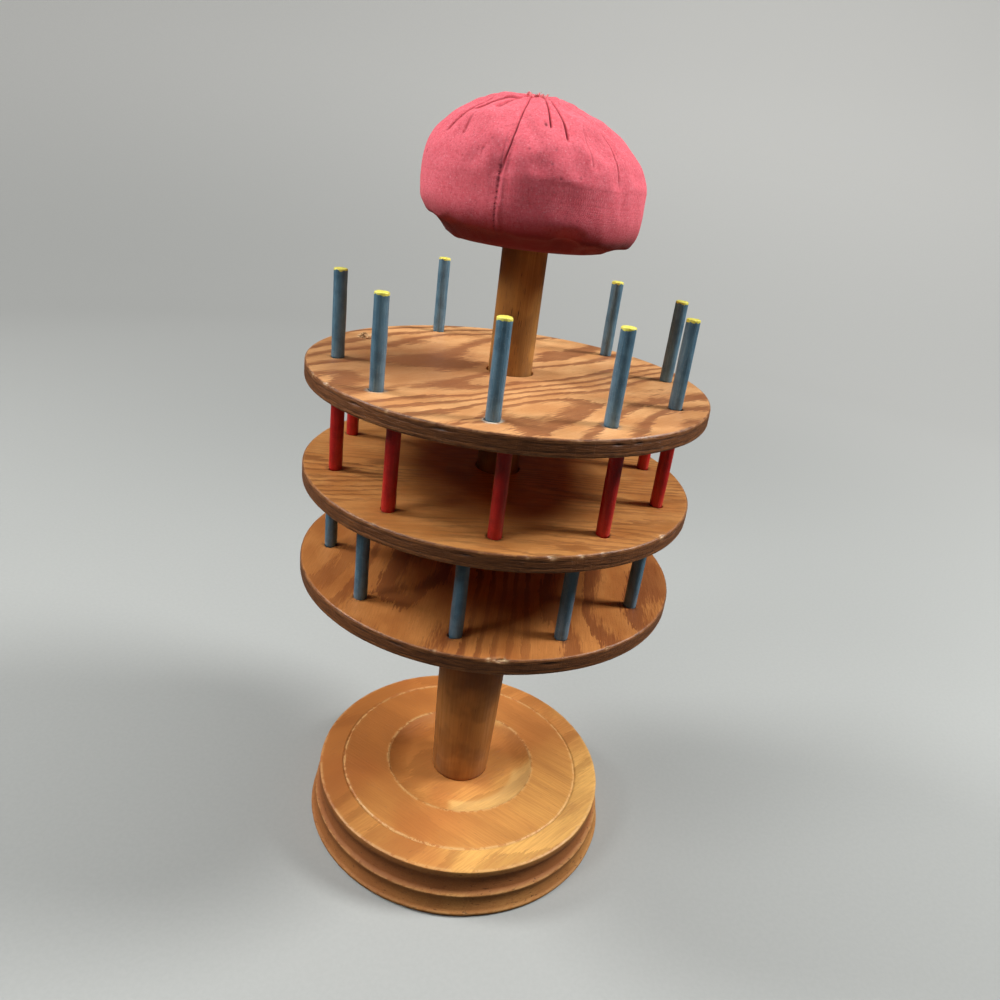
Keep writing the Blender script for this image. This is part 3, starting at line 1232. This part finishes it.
def makeCushion(puffed):
    # one closed skin: the inner rows from the top down to the hole, then the outer rows back up to the gather
    shape = cushionShape
    columns, flatShare, waistShare = shape["columns"], shape["flatShare"], shape["waistShare"]
    share = np.concatenate([
        np.linspace(0, flatShare, 22, endpoint=False),
        np.linspace(flatShare, waistShare, 50, endpoint=False),
        np.linspace(waistShare, 1, 120),
    ])
    skin = smoothCover(share, columns, puffed)
    base = nodeBox("pincushion")[0][2]
    azimuth, reach = coverPlace(skin)
    bearing = np.radians(azimuth)
    radius = reach * shape["radius"]
    share = share[:, None]
    crown = share > waistShare
    out = skin - np.array([0, 0, base + shape["waist"]])
    out[..., 2] *= 0.8
    out /= np.maximum(np.linalg.norm(out, axis=-1, keepdims=True), 1e-6)
    side = smoothStep(flatShare, 0.30, share)
    push = side * (waveNoise(skin, 24, 61) * shape["lumps"] + waveNoise(skin, 8, 62) * shape["lumps"] * 0.3)
    push, fold = foldedIn(push, share, azimuth, reach)
    # the sewn seam goes on down the side below its pleat
    seam = angleGap(azimuth, shape["seam"]) * radius * tau / 360
    sewnSpan = smoothStep(0.62, 0.52, share) * smoothStep(0.18, 0.24, share)
    lowest, highest, gap = shape["stitches"]
    rise = skin[..., 2] - base
    sewnDots = smoothStep(0.1, 0.8, np.cos(rise * tau / gap)) * smoothStep(lowest, lowest + 8, rise)
    sewnDots = sewnDots * smoothStep(highest + 2, highest, rise)
    sewn = np.maximum(0.4 * bell(seam, 0.25), sewnDots * bell(seam, 0.55)) * sewnSpan
    push = push - 0.3 * sewn + sewnSpan * (0.28 * bell(seam - 1.3, 0.9) - 0.12 * bell(seam + 2.0, 1.5))
    # small puckers round the gathers, and a ruffled edge where the cloth is drawn under
    pucker = smoothStep(0.26, 0.08, reach) * crown
    push = push + pucker * np.cos(bearing * 21 + 1.3 * np.sin(bearing * 5)) * 0.45
    edge = bell(share - 0.23, 0.06)
    ruffle = np.cos(bearing * 17 + 2.1 * np.sin(bearing * 3))
    push = push + edge * (ruffle * 0.28 + waveNoise(skin, 9, 63) * 0.45)
    # the cloth stays clear of the board inside
    clear = np.where(crown, 1, smoothStep(26.5, 30.5, radius))
    skin = skin + out * (push * clear)[..., None]
    notch = bell(angleGap(azimuth, -68) / 7, 1.0) * edge
    skin[..., 2] += notch * clear * 1.8
    ceiling = base + 0.85 + 2.2 * np.clip(radius - 26.4, 0, None)
    skin[..., 2] = np.where(crown, skin[..., 2], np.minimum(skin[..., 2], ceiling))
    skin[..., 2] -= smoothStep(0.30, 0.05, reach) * crown * shape["dimple"]
    gathered = smoothStep(0.20, 0.05, share) * smoothStep(9.5, 14, radius) * smoothStep(26, 20, radius)
    skin[..., 2] += gathered * 0.15 * np.cos(bearing * 24)
    pricks = np.zeros_like(radius)
    for turn, level, size in shape["pricks"]:
        spot = np.hypot(angleGap(azimuth, turn) * radius * tau / 360, skin[..., 2] - base - level)
        pricks = np.maximum(pricks, size * bell(spot, 0.30 + 0.12 * size) * (share > 0.2))
    skin = skin - out * (pricks * 0.3)[..., None]
    inner = innerSkin(skin, radius, share, base)
    rings = np.concatenate([inner, skin])
    rings[0] = rings[0].mean(axis=0)
    rings[-1] = rings[-1].mean(axis=0)
    run = np.concatenate([np.linspace(-60, 0, len(inner), endpoint=False), share[:, 0] * 105])
    zeros = np.zeros(inner.shape[:2])
    under = smoothStep(17, 4, skin[..., 2] - base) * (0.8 + 0.2 * smoothStep(0.36, 0.28, share))
    marks = {"fold": fold, "seam": sewn, "prick": pricks}
    marks = {label: np.concatenate([zeros, np.clip(values, 0, 1)]) for label, values in marks.items()}
    marks["under"] = np.concatenate([zeros + 1, under])
    uv = clothSheet(run, tau * shape["radius"], columns)
    return ringMesh("pincushionCover", rings, uv=uv, marks=marks)


def clothSheet(run, girth, columns):
    # the cloth's own flat map in metres: once round its girth, and run millimetres along it
    turn = np.linspace(0, girth, columns + 1)
    return np.stack(np.broadcast_arrays(turn[None, :], run[:, None]), axis=-1) * mm


ruffleShape = {
    "columns": 220,
    "rows": 12,
    "foot": 2.2,  # how deep its foot stands in the dimple
    "rim": 1.5,  # height of its rim above the gather
    "reach": (2.5, 0.6),  # radius at the foot, and how much wider it is at the rim
    "thick": 0.35,
}


def makeRosette():
    # the raw edge of the gathered cloth stands up as a small ruffle: out along its foot, up, over and down
    # inside, with a wave round it that grows with height
    shape = ruffleShape
    rows, columns, foot = shape["rows"], shape["columns"], shape["foot"]
    angle = np.arange(columns) * tau / columns
    t = np.linspace(0, 1, rows)[:, None]
    wave = 0.5 * np.cos(11 * angle + 0.8 * np.sin(3 * angle)) + 0.3 * np.cos(17 * angle + 1.1)
    rim = shape["rim"] + 0.45 * np.cos(5 * angle + 0.4) + 0.35 * np.cos(29 * angle) + 0.2 * np.cos(53 * angle)
    reach = shape["reach"][0] + shape["reach"][1] * t + (0.3 + 0.8 * t) * wave
    outer = polar(reach, angle, -foot + (rim + foot) * t)
    inner = pushedOut(outer, -shape["thick"])[::-1]
    rings = np.concatenate([outer, inner])
    rings += (*cushionShape["gather"], nodeBox("pincushion")[1][2] - foot)
    run = np.concatenate([t[:, 0] * 3.5, 3.5 + t[:, 0] * 3.5, [8.0]])
    frayed = np.concatenate([t, t[::-1]])
    uv = clothSheet(run, tau * 3.4, columns)
    return ringMesh("gatherRuffle", rings, ends="looped", uv=uv, marks={"frayed": frayed})


def threadTubes(name, starts, ends, sags, radius):
    # each thread runs from start to end with a bow of sag between, and is a thin closed tube of five sides
    sides = 5
    steps = np.linspace(0, 1, 7)
    ring = np.arange(sides) * tau / sides
    thin = (radius * (1 - 0.5 * steps))[:, None, None]
    tubes = bmesh.new()
    for start, end, sag in zip(starts, ends, sags):
        path = start + (end - start) * steps[:, None] + 4 * (steps * (1 - steps))[:, None] * sag
        along = np.gradient(path, axis=0)
        along /= np.linalg.norm(along, axis=1, keepdims=True)
        sideways = np.cross(along, [0.31, 0.17, 0.93])
        sideways /= np.linalg.norm(sideways, axis=1, keepdims=True)
        other = np.cross(along, sideways)
        hoop = sideways[:, None] * np.cos(ring)[:, None] + other[:, None] * np.sin(ring)[:, None]
        first, last = (np.broadcast_to(spot, (1, sides, 3)) for spot in (path[0], path[-1]))
        part = ringMesh(name + "Part", np.concatenate([first, path[:, None] + thin * hoop, last]))
        dropLoose(part)
        tubes.from_mesh(part.data)
        bpy.data.objects.remove(part)
    mesh = bpy.data.meshes.new(name)
    bmesh.ops.recalc_face_normals(tubes, faces=tubes.faces)
    tubes.to_mesh(mesh)
    tubes.free()
    tidyMesh(mesh)
    return addObject(name, mesh)


splinters = {
    "count": 30,
    "ring": (2.8, 3.8),  # how far from the hole's middle they start, in millimetres
    "length": (0.8, 2.6),
    "rise": (0.3, 1.3),
    "thick": 0.22,
}
fray = {
    "count": 26,
    "ring": (2.2, 3.8),  # how far from the gather the threads start
    "length": (0.6, 2.4),
    "rise": (0.2, 1.6),
    "thick": 0.07,
}
stitch = {
    "half": 0.34,  # half its length along the seam's sides, and half its slant upwards
    "slant": 0.20,
    "bow": 0.14,
    "thick": 0.13,
}


def makeSplinters():
    # fibres that stand up from the mouth of the empty hole, mostly along the grain
    rng = np.random.default_rng(19)
    count = splinters["count"]
    turn, reach = tiers["top"]["emptyHole"]
    along = math.radians(tiers["top"]["grain"])
    middle = polar(reach, math.radians(turn), nodeBox("top_disc")[1][2])
    way = along + np.repeat([0, math.pi], count // 2) + rng.normal(0, 0.7, count)
    start = rng.uniform(*splinters["ring"], count)[:, None]
    length = rng.uniform(*splinters["length"], count)[:, None]
    outward = polar(1, way, 0)
    rise = rng.uniform(*splinters["rise"], count)[:, None] * [0, 0, 1]
    tips = middle + outward * (start - 0.6) + rise
    roots = middle + outward * (start + length) - [0, 0, 0.05]
    return threadTubes("tornSplinters", roots, tips, 0.1 * rise, splinters["thick"])


def makeFray():
    # loose threads that stand out round the gather
    rng = np.random.default_rng(77)
    count = fray["count"]
    middle = np.array([*cushionShape["gather"], nodeBox("pincushion")[1][2] - 1.4])
    turn = rng.uniform(0, tau, count)
    starts = middle + polar(rng.uniform(*fray["ring"], count), turn, rng.uniform(-0.4, 0.6, count))
    length = rng.uniform(*fray["length"], count)
    ends = starts + polar(length, turn + 0.6, rng.uniform(*fray["rise"], count))
    sags = rng.uniform(-0.4, 0.4, (count, 3))
    return threadTubes("gatherThreads", starts, ends, sags, fray["thick"])


def makeStitches(cushion):
    # short slanting stitches across the seam, each laid on the skin at its own height
    base = nodeBox("pincushion")[0][2]
    points = meshPoints(cushion.data)
    azimuth, reach = coverPlace(points)
    near = points[(np.abs(angleGap(azimuth, cushionShape["seam"])) < 1.2) & (reach > 0.93)]
    near = near[np.argsort(near[:, 2])]
    rise = base + np.arange(*cushionShape["stitches"])
    radius = np.interp(rise, near[:, 2], np.hypot(near[:, 0], near[:, 1]))
    turn = math.radians(cushionShape["seam"])
    outward = np.array([math.cos(turn), math.sin(turn), 0])
    sideways = np.array([-math.sin(turn), math.cos(turn), 0])
    spot = radius[:, None] * outward + rise[:, None] * [0, 0, 1]
    slant = sideways * stitch["half"] + [0, 0, stitch["slant"]]
    bows = np.tile(outward * stitch["bow"], (len(rise), 1))
    return threadTubes("seamStitches", spot - slant, spot + slant, bows, stitch["thick"])


clothColours = {
    "pale": tint(250, 126, 140),
    "deep": tint(238, 94, 108),
    "speck": tint(196, 50, 62),
    "fleck": tint(255, 186, 190),
    "soil": tint(224, 96, 98),
    "under": tint(142, 34, 42),  # low down and underneath the cloth has not faded
    "crease": tint(84, 12, 26),
    "prick": tint(104, 14, 26),
    "frayed": tint(240, 176, 172),
}


def makeClothMaterial(name):
    hue = clothColours
    material, tree, shader = newMaterial(name, Specular_IOR_Level=0.2, Sheen_Weight=0.08, Sheen_Roughness=0.5)
    uv = put(tree, "ShaderNodeUVMap", uv_map="cloth").outputs[0]
    weave = useGroup(tree, weaveGroup, {"Vector": uv, "Pitch": 0.00038})
    place = objectSpace(tree)
    cloud = fade(tree, noise(tree, place, 900.0, 3.0, 0.7), 0.3, 0.7)
    under = mark(tree, "under")
    colour = layered(tree, hue["deep"], [
        (maths(tree, "MULTIPLY_ADD", weave["Slub"], 0.35, times(tree, cloud, 0.65)), 1, hue["pale"]),
        (fade(tree, noise(tree, place, 1500.0, 2.0, 0.6), 0.5, 0.70), 0.42, hue["speck"]),
        (fade(tree, noise(tree, place, 2100.0, 1.0, 0.5), 0.62, 0.74, 0.0, 0.45), 1, hue["fleck"]),
        (weave["Gap"], 0.12, hue["speck"]),
        (fade(tree, noise(tree, place, 34.0, 3.0, 0.6), 0.45, 0.75), 0.15, hue["soil"]),
        (under, 1, hue["under"]),
        (fade(tree, under, 0.8, 1.0, 0.0, 0.5), 1, hue["crease"]),
        (maths(tree, "MAXIMUM", mark(tree, "fold"), mark(tree, "seam")), 0.85, hue["crease"]),
        (mark(tree, "prick"), 0.85, hue["prick"]),
        (mark(tree, "frayed"), 0.35, hue["frayed"]),
    ])
    rough = fade(tree, weave["Slub"], 0, 1, 0.8, 0.94)
    relief = maths(tree, "ADD", weave["Height"], times(tree, weave["Slub"], 0.8))
    connect(tree, shader, colour, rough, relief, 0.00005)
    return material


def makeThreadMaterial(name):
    # spun thread or torn fibre: a fine twist along it, in two colours
    colours, size = threadFinishes[name]
    material, tree, shader = newMaterial(name, Specular_IOR_Level=0.25)
    twist = fade(tree, noise(tree, objectSpace(tree), size, 1.0, 0.5), 0.35, 0.65)
    colour = mixColour(tree, twist, *colours)
    connect(tree, shader, colour, fade(tree, twist, 0, 1, 0.7, 0.85), twist, 0.00003)
    return material


threadFinishes = {
    # two colours, and how fine the twist is
    "frayedThread": ((tint(226, 120, 126), tint(238, 190, 182)), 900.0),
    "stitchThread": ((tint(84, 14, 28), tint(120, 26, 42)), 2600.0),
    "tornWood": ((tint(140, 92, 54), tint(232, 196, 146)), 1200.0),
}
clothMaterial = makeClothMaterial("cottonCover")
cushion = makeCushion(puffCover())
settle(cushion, clothMaterial, "cushion_top", "cushion_cloth", "pincushion")
settle(makeRosette(), clothMaterial, "cushion_top", "cushion_cloth")
settle(makeFray(), makeThreadMaterial("frayedThread"), "cushion_top", "cushion_cloth")
settle(makeStitches(cushion), makeThreadMaterial("stitchThread"), "cushion_top", "cushion_cloth")
settle(makeSplinters(), makeThreadMaterial("tornWood"), "top_tier", "ply_light")
print("pincushion and splinters made")


# Board inside the pincushion

boardFinish = {
    "grain": 20,  # degrees from +X
    "pale": tint(214, 176, 124),
    "dark": tint(190, 148, 96),
}


def makeBoardMaterial():
    # bare softwood on the frame's own board
    finish = boardFinish
    material, tree, shader = newMaterial("boardWoodFinish", Specular_IOR_Level=0.3)
    grain = grainSpace(tree, finish["grain"])
    fibre = useGroup(tree, fibreGroup, {"Vector": grain, "Length": 0.03, "Width": 0.0008})
    colour = mixColour(tree, fibre["Streak"], finish["pale"], finish["dark"])
    connect(tree, shader, colour, fade(tree, fibre["Streak"], 0, 1, 0.6, 0.75), fibre["Streak"], 0.00005)
    return material


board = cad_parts["cushion_board"]
board.data.materials.clear()
board.data.materials.append(makeBoardMaterial())
print("board dressed")


# Floor, walls and light

studio = {
    "floor": 1100.0,  # radius of the flat floor, then of the bend up to the wall, and the wall's height
    "sweep": 500.0,
    "wall": 1000.0,
    "colour": tint(176, 178, 175),
    "wallColour": tint(226, 226, 222),
    "wallGlow": 0.36,  # the camera alone sees the wall this much lighter
    "glowFrom": (0.35, 1.15),  # metres from the rack over which the glow sets in
    "glowSides": (0.7, 1.2),  # its share at the left and at the right
    "bounce": tint(78, 78, 76),  # what the floor and walls give back to the object
    "world": 0.02,
    "worldSeen": 0.72,  # the camera alone sees the world this bright
    "aim": (0, 0, 0.15),
    "lamps": [
        # place in metres, size in metres, power in watts
        ((0.0, -0.15, 1.45), 2.0, 7.2),
        ((-0.72, 0.05, 0.82), 0.30, 6.0),
        ((0.72, 0.05, 0.82), 0.30, 9.4),
        ((-0.62, -0.45, 0.80), 0.30, 2.8),
    ],
}


def makeStudio():
    # a flat floor that bends up into a round wall, one sheet turned about the rack
    floor, sweep, wall = studio["floor"], studio["sweep"], studio["wall"]
    angles = np.linspace(0, math.pi / 2, 24)
    bend = [(floor + sweep * math.sin(a), sweep * (1 - math.cos(a)), 0) for a in angles]
    corners = [(0.001, 0, 0), (200, 0, 0)] + bend + [(floor + sweep, wall, 0)]
    bowl = ringMesh("studioBowl", turned(easedPath(corners, 60), 128)[::-1], ends="open")
    material, tree, shader = newMaterial("studioPaper", Roughness=0.9, Specular_IOR_Level=0.1)
    place = objectSpace(tree)
    tone = fade(tree, noise(tree, place, 500.0, 2.0, 0.6), 0.3, 0.7, 0.97, 1.0)
    grey = put(tree, "ShaderNodeCombineColor", {0: tone, 1: tone, 2: tone}).outputs[0]
    seen = put(tree, "ShaderNodeLightPath").outputs["Is Camera Ray"]
    rise = fade(tree, partOf(tree, place, 2), 0.0, 0.5)
    shown = mixColour(tree, rise, studio["colour"], studio["wallColour"])
    paper = mixColour(tree, seen, studio["bounce"], shown)
    colour = mixColour(tree, 1.0, paper, grey, "MULTIPLY")
    tree.links.new(colour, shader.inputs["Base Color"])
    glow = fade(tree, between(tree, "LENGTH", place), *studio["glowFrom"], 0.0, studio["wallGlow"])
    right = fade(tree, partOf(tree, place, 0), -0.9, 0.9, *studio["glowSides"])
    glow = times(tree, glow, times(tree, right, seen))
    tree.links.new(glow, shader.inputs["Emission Strength"])
    shader.inputs["Emission Color"].default_value = studio["wallColour"]
    bowl.data.materials.append(material)


def addLamps():
    # round soft lamps that all look at the rack's middle, and a faint world
    aim = Vector(studio["aim"])
    for i, (place, size, power) in enumerate(studio["lamps"]):
        light = bpy.data.lights.new(f"softbox{i}", "AREA")
        light.shape, light.size, light.energy = "DISK", size, power
        lamp = bpy.data.objects.new(f"softbox{i}", light)
        lamp.location = place
        lamp.rotation_euler = (aim - Vector(place)).to_track_quat("-Z", "Y").to_euler()
        lamp.visible_camera = False
        bpy.context.scene.collection.objects.link(lamp)
    world = bpy.data.worlds.new("room")
    world.use_nodes = True
    tree, background = world.node_tree, world.node_tree.nodes["Background"]
    background.inputs[0].default_value = studio["wallColour"]
    seen = put(tree, "ShaderNodeLightPath").outputs["Is Camera Ray"]
    strength = fade(tree, seen, 0, 1, studio["world"], studio["worldSeen"])
    tree.links.new(strength, background.inputs[1])
    bpy.context.scene.world = world
    bpy.context.scene.view_settings.view_transform = "Standard"


makeStudio()
addLamps()
print("studio lit")
